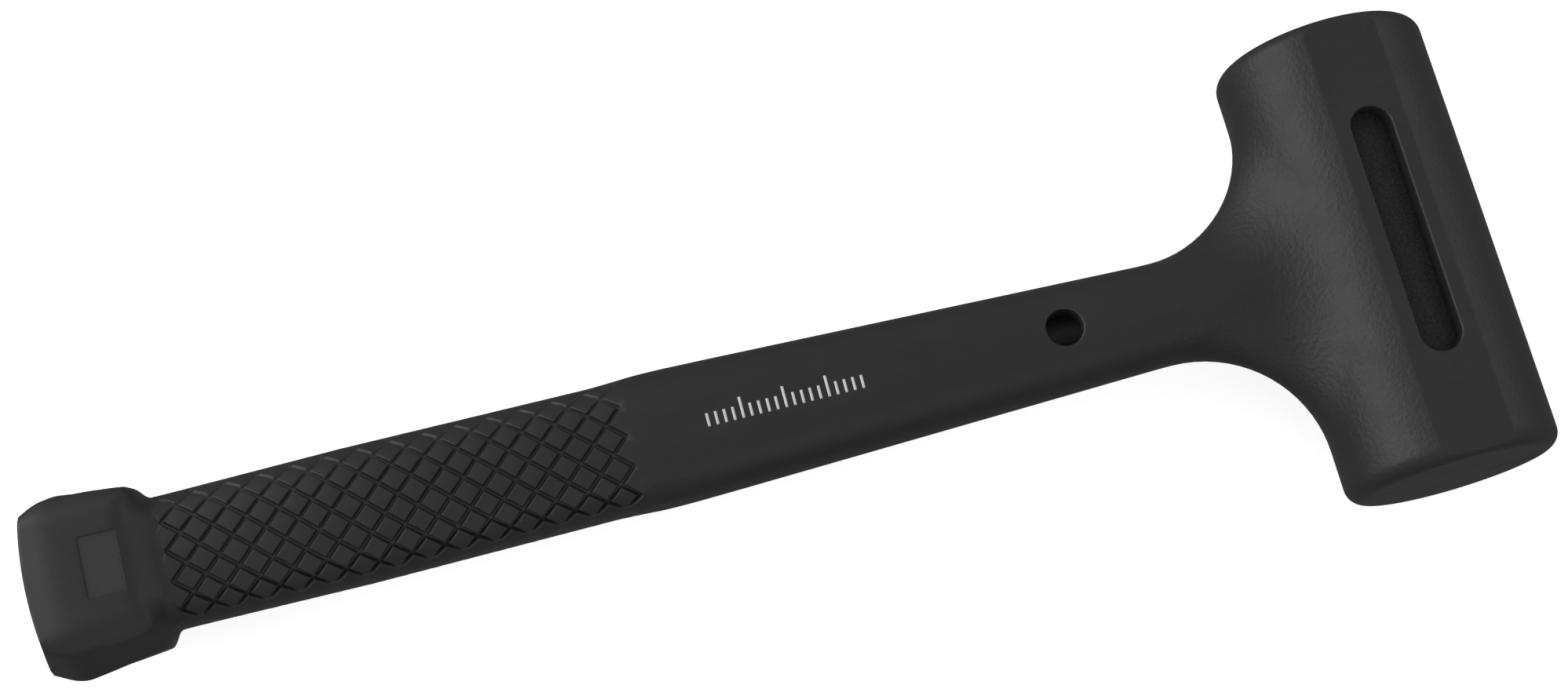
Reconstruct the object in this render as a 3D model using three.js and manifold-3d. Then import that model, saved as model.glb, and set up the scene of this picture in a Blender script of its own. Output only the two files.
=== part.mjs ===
// A dead blow mallet: a welded steel core, loose steel shot inside its canister, and one
// polyurethane jacket moulded over all of it. Millimetres, +Z up. The mallet lies on the side
// of its head: the handle runs along X, the head's axis along Y. The origin is under the middle
// of the whole object, on the surface that it lies on.
import * as THREE from "three";
import { mergeVertices } from "three/addons/utils/BufferGeometryUtils.js";
import Module from "manifold-3d";

const wasm = await Module();
wasm.setup();

// ---- Driving dimensions ----------------------------------------------------------------
// "Distance" is measured from the head's axis towards the butt of the handle.
const HEAD_DIAMETER = 50;
const HEAD_LENGTH = 107.4; // from striking face to striking face
const HEAD_ACROSS_FLATS = 47;
const FACE_EDGE_RADIUS = 4;
const OVERALL_REACH = 320; // from the head's axis to the end of the butt

const NECK_HALF_WIDTH = 12;
const NECK_HALF_THICKNESS = 11.5;
const NECK_SQUARENESS = 2.3; // exponent of the superellipse that a section is; 2 is an ellipse
const FILLET_RADIUS = 30.5; // of the hollow all round the neck, where it runs into the head

const TAPER_END = 160; // the handle widens evenly from the neck to here
const TAPER_HALF_WIDTH = 15.3;
const COLLAR_DISTANCE = 174; // the fullest place, just before the grip
const COLLAR_HALF_WIDTH = 15.6;
const GRIP_START = 187;
const GRIP_END = 283;
const GRIP_HALF_WIDTH = 15.1;
const PALM_DISTANCE = 245; // the grip swells a little under the palm
const PALM_HALF_WIDTH = 15.6;
const GRIP_HALF_THICKNESS = 12;
const HANDLE_SQUARENESS = 2.6;

const BUTT_FOOT = 288.4;
const BUTT_SHOULDER_LENGTH = 4.6;
const BUTT_WIDEST = 311;
const BUTT_HALF_WIDTH = 20.3;
const BUTT_FRONT_HALF_WIDTH = 19;
const BUTT_HALF_THICKNESS = 15.5;
const BUTT_SQUARENESS = 4.5;
const BUTT_CHAMFER_LENGTH = 5.4;
const BUTT_CHAMFER_DROP = 3;
const BUTT_BROAD_CHAMFER_DROP = 1.6;
const BUTT_CROWN = 2.5;

const SLOT_LENGTH = 59.6; // the mould's core supports leave a slot in each flat of the head
const SLOT_WIDTH = 9.6;
const SLOT_MIDDLE = 0.5; // it isn't quite in the middle of the head's length
const PIN_HOLE_DIAMETER = 8.6; // and a blind hole in each side of the neck
const PIN_HOLE_DISTANCE = 79.2;
const BADGE_LENGTH = 8.8; // along the handle
const BADGE_WIDTH = 14.4;
const BADGE_DEPTH = 0.6;
const BADGE_DISTANCE = 300.5;

const CANISTER_DIAMETER = 38;
const CANISTER_LENGTH = 82;
const CANISTER_WALL = 2;
const CAP_THICKNESS = 4;
const CAP_RECESS = 1.5;
const CAP_WELD_WIDTH = 2.2;
const CAP_WELD_RISE = 1.1;
const ROD_DIAMETER = 12;
const ROD_END = 300;
const ROD_CHAMFER = 1.5;
const ROD_GROOVE_DEPTH = 0.8;
const ROD_GROOVE_WIDTH = 3;
const ROD_GROOVE_DISTANCES = [272, 280, 288];
const BEAD_RADIUS = 10.5;
const BEAD_LENGTH = 6;
const SHOT_LENGTH = 46; // the charge is a loose bed, level on top, at one end of the canister
const SHOT_LEVEL = 5; // height of its top above the canister's axis

const ROOT_SHARE = 0.8; // the handle's skin ends inside the head, this far out from its axis
const FILLET_STEPS = 10;
const CROWN_TIP_SHARE = 0.14; // the crowned end closes with a flat this much of its rim's size
const GAP = 0.3; // between pieces that touch
const MERGE_DISTANCE = 1e-4;
const ROUND_SIDES = 56;
const SMALL_SIDES = 32;
const HANDLE_SIDES = 32;
const ARC_STEPS = 5;

// ---- Sizes worked out from them ---------------------------------------------------------
const HEAD_RADIUS = HEAD_DIAMETER / 2;
const HEAD_HALF_LENGTH = HEAD_LENGTH / 2;
const FLAT_HEIGHT = HEAD_ACROSS_FLATS / 2;
const HEAD_X = (OVERALL_REACH - HEAD_RADIUS) / 2;
const CANISTER_RADIUS = CANISTER_DIAMETER / 2;
const CANISTER_END = CANISTER_LENGTH / 2;
const CHAMBER_RADIUS = CANISTER_RADIUS - CANISTER_WALL;
const CAP_RADIUS = CHAMBER_RADIUS - GAP;
const CAP_OUTSIDE = CANISTER_END - CAP_RECESS;
const CHAMBER_END = CAP_OUTSIDE - CAP_THICKNESS;
const ROD_RADIUS = ROD_DIAMETER / 2;

const FILLET_REACH = HEAD_RADIUS + FILLET_RADIUS; // from the head's axis to the fillet's centre
const NECK_START = FILLET_REACH + 1; // from here on the handle tapers
const BUTT_TOP = BUTT_FOOT + BUTT_SHOULDER_LENGTH;
const BUTT_CHAMFER_END = BUTT_WIDEST + BUTT_CHAMFER_LENGTH;
const BUTT_RIM = OVERALL_REACH - BUTT_CROWN;

// ---- Solids -----------------------------------------------------------------------------
/** A closed geometry as a solid that can be joined and cut. */
function solid(geometry) {
  const bare = geometry.clone();
  bare.deleteAttribute("normal");
  bare.deleteAttribute("uv");
  const merged = mergeVertices(bare, MERGE_DISTANCE);
  return new wasm.Manifold(
    new wasm.Mesh({
      numProp: 3,
      vertProperties: merged.getAttribute("position").array,
      triVerts: new Uint32Array(merged.index.array),
    }),
  );
}

/** The geometry of a solid, ready for a mesh. */
function geometryOf(body) {
  const shell = body.getMesh();
  const geometry = new THREE.BufferGeometry();
  const positions = new THREE.BufferAttribute(shell.vertProperties, 3);
  geometry.setAttribute("position", positions);
  geometry.setIndex(new THREE.BufferAttribute(shell.triVerts, 1));
  geometry.computeVertexNormals();
  return geometry;
}

/** A turned geometry about Y. Each profile point is [radius, height], going up its outside. */
function turned(profile, sides = ROUND_SIDES) {
  return new THREE.LatheGeometry(
    profile.map(([radius, height]) => new THREE.Vector2(radius, height)),
    sides,
  );
}

/** A turned geometry about the handle's axis. Profile points are [radius, distance]. */
function turnedOnHandle(profile, sides = SMALL_SIDES) {
  const upright = [...profile].reverse().map(([radius, distance]) => [radius, -distance]);
  return turned(upright, sides).rotateZ(-Math.PI / 2);
}

/** Points of an arc about a centre, from one angle to another, as [x, y] pairs. */
function arc(centreX, centreY, radius, fromAngle, toAngle, steps = ARC_STEPS) {
  return Array.from({ length: steps + 1 }, (_, i) => {
    const angle = THREE.MathUtils.lerp(fromAngle, toAngle, i / steps);
    return [centreX + radius * Math.cos(angle), centreY + radius * Math.sin(angle)];
  });
}

/** A prism that stands on the XY plane: an outline extruded from one height to another. */
function prism(outline, bottom, top) {
  const settings = { depth: top - bottom, bevelEnabled: false, curveSegments: 2 * ARC_STEPS };
  return new THREE.ExtrudeGeometry(outline, settings).translate(0, 0, bottom);
}

/** A rectangle with round corners, centred on a point. */
function roundedRectangle(centreX, width, height, radius) {
  const x = width / 2;
  const y = height / 2;
  const outline = new THREE.Shape();
  outline.absarc(centreX + x - radius, y - radius, radius, 0, Math.PI / 2);
  outline.absarc(centreX - x + radius, y - radius, radius, Math.PI / 2, Math.PI);
  outline.absarc(centreX - x + radius, radius - y, radius, Math.PI, 1.5 * Math.PI);
  outline.absarc(centreX + x - radius, radius - y, radius, 1.5 * Math.PI, 2 * Math.PI);
  return outline;
}

// ---- The handle's shape -------------------------------------------------------------------
/** A value that changes in straight tapers between [distance, value] pairs. */
function taper(pairs, distance) {
  const after = pairs.findIndex(([place]) => distance <= place);
  if (after < 0) return pairs[pairs.length - 1][1];
  if (after === 0) return pairs[0][1];
  const [nearPlace, nearValue] = pairs[after - 1];
  const [farPlace, farValue] = pairs[after];
  const share = (distance - nearPlace) / (farPlace - nearPlace);
  return THREE.MathUtils.lerp(nearValue, farValue, share);
}

const WIDTH_TAPERS = [
  [NECK_START, NECK_HALF_WIDTH],
  [TAPER_END, TAPER_HALF_WIDTH],
  [COLLAR_DISTANCE, COLLAR_HALF_WIDTH],
  [GRIP_START, GRIP_HALF_WIDTH],
  [PALM_DISTANCE, PALM_HALF_WIDTH],
  [GRIP_END, GRIP_HALF_WIDTH],
  [BUTT_FOOT, GRIP_HALF_WIDTH],
  [BUTT_TOP, BUTT_FRONT_HALF_WIDTH],
  [BUTT_WIDEST, BUTT_HALF_WIDTH],
  [BUTT_CHAMFER_END, BUTT_HALF_WIDTH - BUTT_CHAMFER_DROP],
];
const THICKNESS_TAPERS = [
  [NECK_START, NECK_HALF_THICKNESS],
  [TAPER_END, GRIP_HALF_THICKNESS],
  [BUTT_FOOT, GRIP_HALF_THICKNESS],
  [BUTT_TOP, BUTT_HALF_THICKNESS],
  [BUTT_WIDEST, BUTT_HALF_THICKNESS],
  [BUTT_CHAMFER_END, BUTT_HALF_THICKNESS - BUTT_BROAD_CHAMFER_DROP],
];
const SQUARENESS_TAPERS = [
  [NECK_START, NECK_SQUARENESS],
  [TAPER_END, HANDLE_SQUARENESS],
  [BUTT_FOOT, HANDLE_SQUARENESS],
  [BUTT_TOP, BUTT_SQUARENESS],
];

/** How much the crowned end of the butt has shrunk at a distance: 1 at its rim, less beyond. */
function crownShare(distance) {
  if (distance <= BUTT_RIM) return 1;
  const left = Math.max(0, 1 - (distance - BUTT_RIM) / BUTT_CROWN);
  return Math.max(CROWN_TIP_SHARE, Math.sqrt(left));
}

/** One value of a superellipse from the sine or cosine of an angle. */
function bulge(value, power) {
  // The sine of a whole turn isn't quite 0, and a small power would make it grow.
  return Math.abs(value) < 1e-9 ? 0 : Math.sign(value) * Math.abs(value) ** power;
}

/** A point of the handle's surface, by its place round the section and its distance. */
function handlePoint(across, up, distance) {
  const power = 2 / taper(SQUARENESS_TAPERS, distance);
  const share = crownShare(distance);
  return new THREE.Vector3(
    -distance,
    -taper(WIDTH_TAPERS, distance) * share * bulge(across, power),
    taper(THICKNESS_TAPERS, distance) * share * bulge(up, power),
  );
}

/**
 * A point of the fillet that a ball leaves as it rolls round the neck in touch with both neck and
 * head. Sweep goes from 0, where the ball touches the head, to 1, where it touches the neck.
 */
function filletPoint(across, up, sweep) {
  const power = 2 / NECK_SQUARENESS;
  const outward = new THREE.Vector3(
    0,
    -bulge(across, 2 - power) / NECK_HALF_WIDTH,
    bulge(up, 2 - power) / NECK_HALF_THICKNESS,
  ).normalize();
  const centre = handlePoint(across, up, NECK_START).addScaledVector(outward, FILLET_RADIUS);
  centre.x = -Math.sqrt(FILLET_REACH ** 2 - centre.z ** 2);
  const toHead = new THREE.Vector3(-centre.x, 0, -centre.z).normalize();
  const toNeck = outward.negate();
  const turn = toHead.angleTo(toNeck);
  return centre
    .addScaledVector(toHead, (FILLET_RADIUS * Math.sin((1 - sweep) * turn)) / Math.sin(turn))
    .addScaledVector(toNeck, (FILLET_RADIUS * Math.sin(sweep * turn)) / Math.sin(turn));
}

/** The skin's root, inside the head behind the place where the fillet touches it. */
function rootPoint(across, up) {
  return filletPoint(across, up, 0).multiplyScalar(ROOT_SHARE);
}

/** Even steps from one value up to, but not including, another. */
function steps(from, to, count) {
  return Array.from({ length: count }, (_, i) => from + ((to - from) * i) / count);
}

/** The handle and butt as one closed skin, from inside the head to the crowned end. */
function handleSkin() {
  const sweeps = [...steps(0, 1, FILLET_STEPS), 1];
  const distances = [
    ...steps(NECK_START, COLLAR_DISTANCE, 6),
    ...steps(COLLAR_DISTANCE, GRIP_START, 2),
    ...steps(GRIP_START, BUTT_FOOT, 6),
    ...steps(BUTT_FOOT, BUTT_TOP, 2),
    ...steps(BUTT_TOP, BUTT_CHAMFER_END, 3),
    ...steps(BUTT_CHAMFER_END, BUTT_RIM, 1),
    ...steps(BUTT_RIM, OVERALL_REACH, 4),
    OVERALL_REACH,
  ];
  const ringPoints = [
    rootPoint,
    ...sweeps.map((sweep) => (across, up) => filletPoint(across, up, sweep)),
    ...distances.map((distance) => (across, up) => handlePoint(across, up, distance)),
  ];
  const lastRing = ringPoints.length - 1;
  const skin = new THREE.CylinderGeometry(1, 1, 1, HANDLE_SIDES, lastRing);
  const points = skin.getAttribute("position");
  for (let i = 0; i < points.count; i++) {
    const ring = Math.round((0.5 - points.getY(i)) * lastRing);
    const point = ringPoints[ring](points.getX(i), points.getZ(i));
    const isCapCentre = Math.hypot(points.getX(i), points.getZ(i)) < 0.5;
    if (isCapCentre) point.set(ringPoints[ring](0, 1).x, 0, 0);
    points.setXYZ(i, point.x, point.y, point.z);
  }
  return solid(skin);
}

// ---- The pieces -----------------------------------------------------------------------------
/** The round head with its softened faces, cut flat on both sides. */
function headBlock() {
  const edge = HEAD_HALF_LENGTH - FACE_EDGE_RADIUS;
  const inner = HEAD_RADIUS - FACE_EDGE_RADIUS;
  const barrel = turned([
    [0, -HEAD_HALF_LENGTH],
    ...arc(inner, -edge, FACE_EDGE_RADIUS, -Math.PI / 2, 0),
    ...arc(inner, edge, FACE_EDGE_RADIUS, 0, Math.PI / 2),
    [0, HEAD_HALF_LENGTH],
  ]);
  const flats = new THREE.BoxGeometry(HEAD_DIAMETER * 2, HEAD_LENGTH * 2, HEAD_ACROSS_FLATS);
  return solid(barrel).intersect(solid(flats));
}

/** The outside of the closed canister. The welds slope down to each recessed cap. */
function canisterOutline(margin) {
  const radius = CANISTER_RADIUS + margin;
  const end = CANISTER_END + margin;
  const cap = CAP_OUTSIDE + margin;
  const weldFoot = CAP_RADIUS - CAP_WELD_WIDTH - 2 * margin;
  return solid(
    turned([
      [0, -cap],
      [weldFoot, -cap],
      [CAP_RADIUS, -end],
      [radius, -end],
      [radius, end],
      [CAP_RADIUS, end],
      [weldFoot, cap],
      [0, cap],
    ]),
  );
}

/** The rod, its start still plain, with locking grooves near its far end. */
function rodOutline(margin, grooves) {
  const radius = ROD_RADIUS + margin;
  const end = ROD_END + margin;
  const neckRadius = radius - ROD_GROOVE_DEPTH;
  const cuts = grooves.flatMap((distance) => [
    [radius, distance - ROD_GROOVE_WIDTH / 2],
    [neckRadius, distance - ROD_GROOVE_WIDTH / 2 + ROD_GROOVE_DEPTH],
    [neckRadius, distance + ROD_GROOVE_WIDTH / 2 - ROD_GROOVE_DEPTH],
    [radius, distance + ROD_GROOVE_WIDTH / 2],
  ]);
  return solid(
    turnedOnHandle([
      [0, 0],
      [radius, 0],
      ...cuts,
      [radius, end - ROD_CHAMFER],
      [radius - ROD_CHAMFER, end],
      [0, end],
    ]),
  );
}

/** The weld's outside: a sloping collar round the rod's foot, before the core is cut out of it. */
function beadOutline(margin) {
  const start = CANISTER_RADIUS - BEAD_LENGTH;
  const shoulder = CANISTER_RADIUS + 1 + margin;
  return solid(
    turnedOnHandle([
      [0, start],
      [BEAD_RADIUS + margin, start],
      [BEAD_RADIUS + margin, shoulder],
      [(BEAD_RADIUS + ROD_RADIUS) / 2 + margin, CANISTER_RADIUS + BEAD_LENGTH * 0.55 + margin],
      [ROD_RADIUS + 0.6 + margin, CANISTER_RADIUS + BEAD_LENGTH + margin],
      [0, CANISTER_RADIUS + BEAD_LENGTH + margin],
    ]),
  );
}

/** The straight-sided cutter of the slot, for one side of the head. */
function slotCutter(bottom, top) {
  const outline = roundedRectangle(0, SLOT_WIDTH, SLOT_LENGTH, SLOT_WIDTH / 2 - 0.001);
  return solid(prism(outline, bottom, top).translate(0, SLOT_MIDDLE, 0));
}

function pinHoleCutter() {
  const drill = new THREE.CylinderGeometry(
    PIN_HOLE_DIAMETER / 2,
    PIN_HOLE_DIAMETER / 2,
    HEAD_ACROSS_FLATS,
    SMALL_SIDES,
  );
  return solid(drill.rotateX(Math.PI / 2).translate(-PIN_HOLE_DISTANCE, 0, 0));
}

function badgeCutter(bottom, top) {
  return solid(prism(roundedRectangle(-BADGE_DISTANCE, BADGE_LENGTH, BADGE_WIDTH, 1), bottom, top));
}

function jacket() {
  const slotFloor = CHAMBER_RADIUS - CANISTER_WALL; // inside the canister, so the slot opens onto it
  const badgeFloor = BUTT_HALF_THICKNESS - BADGE_DEPTH;
  return headBlock()
    .add(handleSkin())
    .subtract(slotCutter(slotFloor, HEAD_RADIUS))
    .subtract(slotCutter(-HEAD_RADIUS, -slotFloor))
    .subtract(pinHoleCutter())
    .subtract(badgeCutter(badgeFloor, HEAD_RADIUS))
    .subtract(badgeCutter(-HEAD_RADIUS, -badgeFloor))
    .subtract(canisterOutline(GAP))
    .subtract(rodOutline(GAP, ROD_GROOVE_DISTANCES))
    .subtract(beadOutline(GAP));
}

function canisterTube() {
  const inner = CHAMBER_RADIUS;
  const outer = CANISTER_RADIUS;
  const end = CANISTER_END;
  return solid(turned([[inner, -end], [outer, -end], [outer, end], [inner, end], [inner, -end]]));
}

/** One end cap, at its place towards +Y. */
function endCap() {
  const chamfer = 0.8;
  return solid(
    turned([
      [0, CHAMBER_END],
      [CAP_RADIUS, CHAMBER_END],
      [CAP_RADIUS, CAP_OUTSIDE - chamfer],
      [CAP_RADIUS - chamfer, CAP_OUTSIDE],
      [0, CAP_OUTSIDE],
    ]),
  );
}

/** The fillet weld that holds one end cap in the tube, at its place towards +Y. */
function capWeld() {
  const foot = CAP_OUTSIDE + GAP;
  const hollow = [CAP_RADIUS - CAP_WELD_WIDTH * 0.55, foot + CAP_WELD_RISE * 0.35];
  const inner = [CAP_RADIUS - CAP_WELD_WIDTH, foot];
  return solid(
    turned([inner, [CAP_RADIUS, foot], [CAP_RADIUS, foot + CAP_WELD_RISE], hollow, inner]),
  );
}

function handleRod() {
  return rodOutline(0, ROD_GROOVE_DISTANCES).subtract(canisterOutline(GAP));
}

function rodWeld() {
  const rodPlace = turnedOnHandle([
    [0, 0],
    [ROD_RADIUS + GAP, 0],
    [ROD_RADIUS + GAP, 2 * HEAD_DIAMETER],
    [0, 2 * HEAD_DIAMETER],
  ]);
  return beadOutline(0).subtract(canisterOutline(GAP)).subtract(solid(rodPlace));
}

/** The bed of shot at its rest place, against the end cap towards -Y. */
function shotCharge() {
  const radius = CHAMBER_RADIUS - 2 * GAP;
  const edgeAngle = Math.asin(SHOT_LEVEL / radius);
  const outline = new THREE.Shape();
  outline.absarc(0, 0, radius, Math.PI - edgeAngle, 2 * Math.PI + edgeAngle);
  const bed = new THREE.ExtrudeGeometry(outline, {
    depth: SHOT_LENGTH,
    bevelEnabled: false,
    curveSegments: SMALL_SIDES,
  });
  return solid(bed.rotateX(Math.PI / 2).translate(0, SHOT_LENGTH - CHAMBER_END + GAP, 0));
}

// ---- Materials --------------------------------------------------------------------------------
const polyurethane = () =>
  new THREE.MeshStandardMaterial({ color: 0x2b2b2d, roughness: 0.5, metalness: 0 });
const blackenedSteel = () =>
  new THREE.MeshStandardMaterial({ color: 0x26282a, roughness: 0.45, metalness: 0.8 });
const bareSteel = () =>
  new THREE.MeshStandardMaterial({ color: 0x8d9196, roughness: 0.35, metalness: 1 });
const weldSteel = () =>
  new THREE.MeshStandardMaterial({ color: 0x5c5e60, roughness: 0.55, metalness: 1 });
const shotSteel = () =>
  new THREE.MeshStandardMaterial({ color: 0xa4a8ac, roughness: 0.25, metalness: 1 });

// ---- The mallet ---------------------------------------------------------------------------------
function piece(name, body, material) {
  const mesh = new THREE.Mesh(geometryOf(body), material);
  mesh.name = name;
  return mesh;
}

/** A closed end of the canister: its cap and its weld, facing +Y. */
function canisterEnd(prefix) {
  const end = new THREE.Group();
  end.add(piece(`${prefix}_end_cap`, endCap(), bareSteel()));
  end.add(piece(`${prefix}_cap_weld`, capWeld(), weldSteel()));
  return end;
}

const frontEnd = canisterEnd("front");
const rearEnd = canisterEnd("rear");
rearEnd.rotation.z = Math.PI; // the same end, turned to face -Y

const core = new THREE.Group();
core.add(piece("canister_tube", canisterTube(), blackenedSteel()));
core.add(frontEnd, rearEnd);
core.add(piece("handle_core_rod", handleRod(), bareSteel()));
core.add(piece("rod_weld_bead", rodWeld(), weldSteel()));

const mallet = new THREE.Group();
mallet.position.set(HEAD_X, 0, FLAT_HEIGHT);
mallet.add(piece("polyurethane_jacket", jacket(), polyurethane()));
mallet.add(core);
mallet.add(piece("steel_shot_charge", shotCharge(), shotSteel()));

const part = new THREE.Group();
part.add(mallet);

export default part;
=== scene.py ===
# %% [markdown]
# # A dead blow mallet
#
# This lesson builds the looks of a dead blow mallet round the solid parts that came from CAD. The
# real tool is a welded steel core with loose steel shot in its canister, and one jacket of
# polyurethane moulded over all of it. The CAD parts give every place and size. Blender adds what
# a plain solid lacks: the cut grip, the soft edges, the separate balls and the finishes.

import math

import bmesh
import bpy
import numpy as np
from mathutils import Matrix, Vector


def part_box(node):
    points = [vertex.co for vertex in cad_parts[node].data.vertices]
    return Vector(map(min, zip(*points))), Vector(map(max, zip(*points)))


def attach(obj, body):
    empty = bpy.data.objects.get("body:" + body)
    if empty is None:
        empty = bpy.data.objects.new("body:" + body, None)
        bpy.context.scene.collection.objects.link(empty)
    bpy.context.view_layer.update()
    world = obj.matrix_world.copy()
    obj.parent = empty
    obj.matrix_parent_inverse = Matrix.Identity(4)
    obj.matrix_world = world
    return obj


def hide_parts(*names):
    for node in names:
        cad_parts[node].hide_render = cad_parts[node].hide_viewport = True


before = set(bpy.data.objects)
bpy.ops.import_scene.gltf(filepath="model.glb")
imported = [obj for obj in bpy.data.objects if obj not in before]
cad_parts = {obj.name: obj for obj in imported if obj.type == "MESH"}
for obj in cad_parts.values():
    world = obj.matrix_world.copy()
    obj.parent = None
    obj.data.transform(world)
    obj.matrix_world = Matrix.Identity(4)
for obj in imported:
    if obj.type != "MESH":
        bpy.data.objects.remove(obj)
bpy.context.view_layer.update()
print("CAD nodes:", ", ".join(sorted(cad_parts)))

# %% [markdown]
# ## One set of measures
#
# It is easier to think of the mallet as its maker does: how far a place is from the head's axis
# along the handle, how far across, and how high above the middle. So shapes are worked out as
# (distance, across, height) in millimetres, and one function puts them into the scene in metres.

# %% From maker's measures to the scene
MM = 0.001
tube_low, tube_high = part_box("canister_tube")
AXIS_X = (tube_low.x + tube_high.x) / 2
MIDDLE_Z = (tube_low.z + tube_high.z) / 2


def placed(points):
    """Points as (distance, across, height) in millimetres, as places in the scene in metres."""
    distance, across, height = np.asarray(points, float).reshape(-1, 3).T
    return np.column_stack([AXIS_X - distance * MM, across * MM, MIDDLE_Z + height * MM])


def new_object(name, points, faces, material=None):
    """A mesh object at the origin, from points in the maker's measures, with outward faces."""
    mesh = bpy.data.meshes.new(name)
    mesh.from_pydata(placed(points).tolist(), [], [list(map(int, face)) for face in faces])
    shape = bmesh.new()
    shape.from_mesh(mesh)
    bmesh.ops.remove_doubles(shape, verts=shape.verts, dist=1e-7)
    bmesh.ops.recalc_face_normals(shape, faces=shape.faces)
    shape.to_mesh(mesh)
    shape.free()
    mesh.shade_smooth()
    made = bpy.data.objects.new(name, mesh)
    bpy.context.scene.collection.objects.link(made)
    if material:
        mesh.materials.append(material)
    return made


print("head axis at x =", round(AXIS_X * 1000, 2), "mm, middle at z =", round(MIDDLE_Z * 1000, 2), "mm")

# %% [markdown]
# ## The jacket as one skin
#
# The jacket is a single moulding, so it is made as a single closed skin and not as a head and a
# handle pushed together: only then do the hollow round the neck and the grip flow into it without
# a seam. The skin is woven from rings of the same number of points, each a section of the handle,
# and every ring is stitched to the next with four-sided faces.

# %% Weaving rings into a skin
RING = 120  # points in each ring, the first in the middle of the upper side


class Skin:
    """Points and faces of a surface that grows ring by ring."""

    def __init__(self):
        self.points = []
        self.faces = []

    def add(self, distance, across, height):
        """Adds points and returns their numbers."""
        rows = np.column_stack([np.ravel(a) for a in np.broadcast_arrays(distance, across, height)])
        start = len(self.points)
        self.points.extend(rows.tolist())
        return np.arange(start, start + len(rows))

    def stitch(self, near, far):
        """Joins two closed rings with a row of faces."""
        after = np.roll(np.arange(len(near)), -1)
        self.faces.extend(np.column_stack([near, near[after], far[after], far]).tolist())

    def grow(self, previous, distance, across, height):
        """Adds a ring, stitches it to the one before and returns it."""
        ring = self.add(distance, across, height)
        self.stitch(previous, ring)
        return ring

    def close(self, ring, centre):
        """Closes a ring with triangles to one point."""
        after = np.roll(np.arange(len(ring)), -1)
        self.faces.extend([[a, b, centre] for a, b in zip(ring, ring[after])])


def soft_min(a, b, softness):
    """The lower of two values, rounded where they cross."""
    overlap = np.maximum(softness - np.abs(a - b), 0)
    return np.minimum(a, b) - overlap * overlap / (4 * softness)


def eased(pairs, distance, reach=1.5):
    """A value given by straight tapers between (place, value) pairs, its corners rounded."""
    places, values = zip(*pairs)
    samples = [np.interp(distance + shift, places, values) for shift in np.linspace(-reach, reach, 7)]
    return np.mean(samples, axis=0)


def smooth_step(share):
    """A share from 0 to 1, with a soft start and a soft end."""
    share = np.clip(share, 0, 1)
    return share * share * (3 - 2 * share)


# %% [markdown]
# ## Round the handle
#
# A section of the handle is between an oval and a rounded box, which one formula gives: the
# superellipse. Places round it are counted in grip pitches, 12 to the full turn, because the cut
# grip needs its lines an even distance apart on the surface: one pitch is 7.1 mm of skin on both
# broad sides. A table from arc length to angle turns pitches into the formula's own angle.

# %% Places round a section
PITCH_ROUND = 7.1
PITCHES_ROUND = 12
GRIP_SECTION = (15.35, 12.0, 2.6)  # half width, half thickness, squareness


def bulge(value, power):
    """A power that keeps the value's sign."""
    return np.sign(value) * np.abs(value) ** power


quarter_angles = np.linspace(0, math.pi / 2, 4001)
quarter_y = GRIP_SECTION[0] * bulge(np.sin(quarter_angles), 2 / GRIP_SECTION[2])
quarter_z = GRIP_SECTION[1] * bulge(np.cos(quarter_angles), 2 / GRIP_SECTION[2])
quarter_arcs = np.concatenate([[0], np.cumsum(np.hypot(np.diff(quarter_y), np.diff(quarter_z)))])
QUARTER_ARC = quarter_arcs[-1]


def folded(pitches):
    """Pitches round the section as (pitches from the nearest broad middle, side, upper or lower)."""
    turn = np.mod(pitches, PITCHES_ROUND)
    side = np.where(turn <= PITCHES_ROUND / 2, -1.0, 1.0)
    half = np.where(turn <= PITCHES_ROUND / 2, turn, PITCHES_ROUND - turn)
    upper = np.where(half <= PITCHES_ROUND / 4, 1.0, -1.0)
    return np.where(upper > 0, half, PITCHES_ROUND / 2 - half), side, upper


def arc_from_middle(quarter):
    """Millimetres of skin from the middle of a broad side, from pitches."""
    even_part = PITCHES_ROUND / 4 - 0.5
    return np.interp(quarter, [0, even_part, PITCHES_ROUND / 4], [0, PITCH_ROUND * even_part, QUARTER_ARC])


def section_angle(pitches):
    """The superellipse's own angle, 0 on top and a quarter turn at the side towards -Y."""
    quarter, side, upper = folded(pitches)
    angle = np.interp(arc_from_middle(quarter), quarter_arcs, quarter_angles)
    half_turn = np.where(upper > 0, angle, math.pi - angle)
    return np.where(side < 0, half_turn, 2 * math.pi - half_turn)


def tidy(value):
    """Makes what is zero but for rounding exactly zero."""
    return np.where(np.abs(value) < 1e-9, 0, value)


print("a quarter of the grip's section is", round(float(QUARTER_ARC), 2), "mm of skin")

# %% [markdown]
# ## Along the handle
#
# The handle widens evenly from the neck, is fullest at a low collar before the grip, and swells a
# little again under the palm. The butt is a different shape: a pillow block with a flat top, sides
# that fall away to an edge, drafted walls, and flats planed off its end and corners. Its section
# is written out on its own, and the shoulder between grip and butt is a blend of the two.

# %% Sections of the handle and of the butt
NECK_SECTION = (12.0, 11.5, 2.3)
HEAD_RADIUS = 25.0
FILLET_RADIUS = 30.5
FILLET_REACH = HEAD_RADIUS + FILLET_RADIUS
NECK_START = FILLET_REACH + 1.5
# Tapers below are (distance, value) pairs: half widths, half thicknesses and squarenesses.
WIDTHS = [
    (NECK_START, 12.0),
    (160, 15.3),
    (171, 15.6),
    (177, 15.6),
    (187, 15.15),
    (245, 15.6),
    (283, 15.15),
]
THICKNESSES = [(NECK_START, 11.5), (160, 12.0), (171, 12.25), (177, 12.25), (187, 11.95), (290, 11.95)]
SQUARENESSES = [(NECK_START, 2.3), (160, 2.6)]

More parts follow.
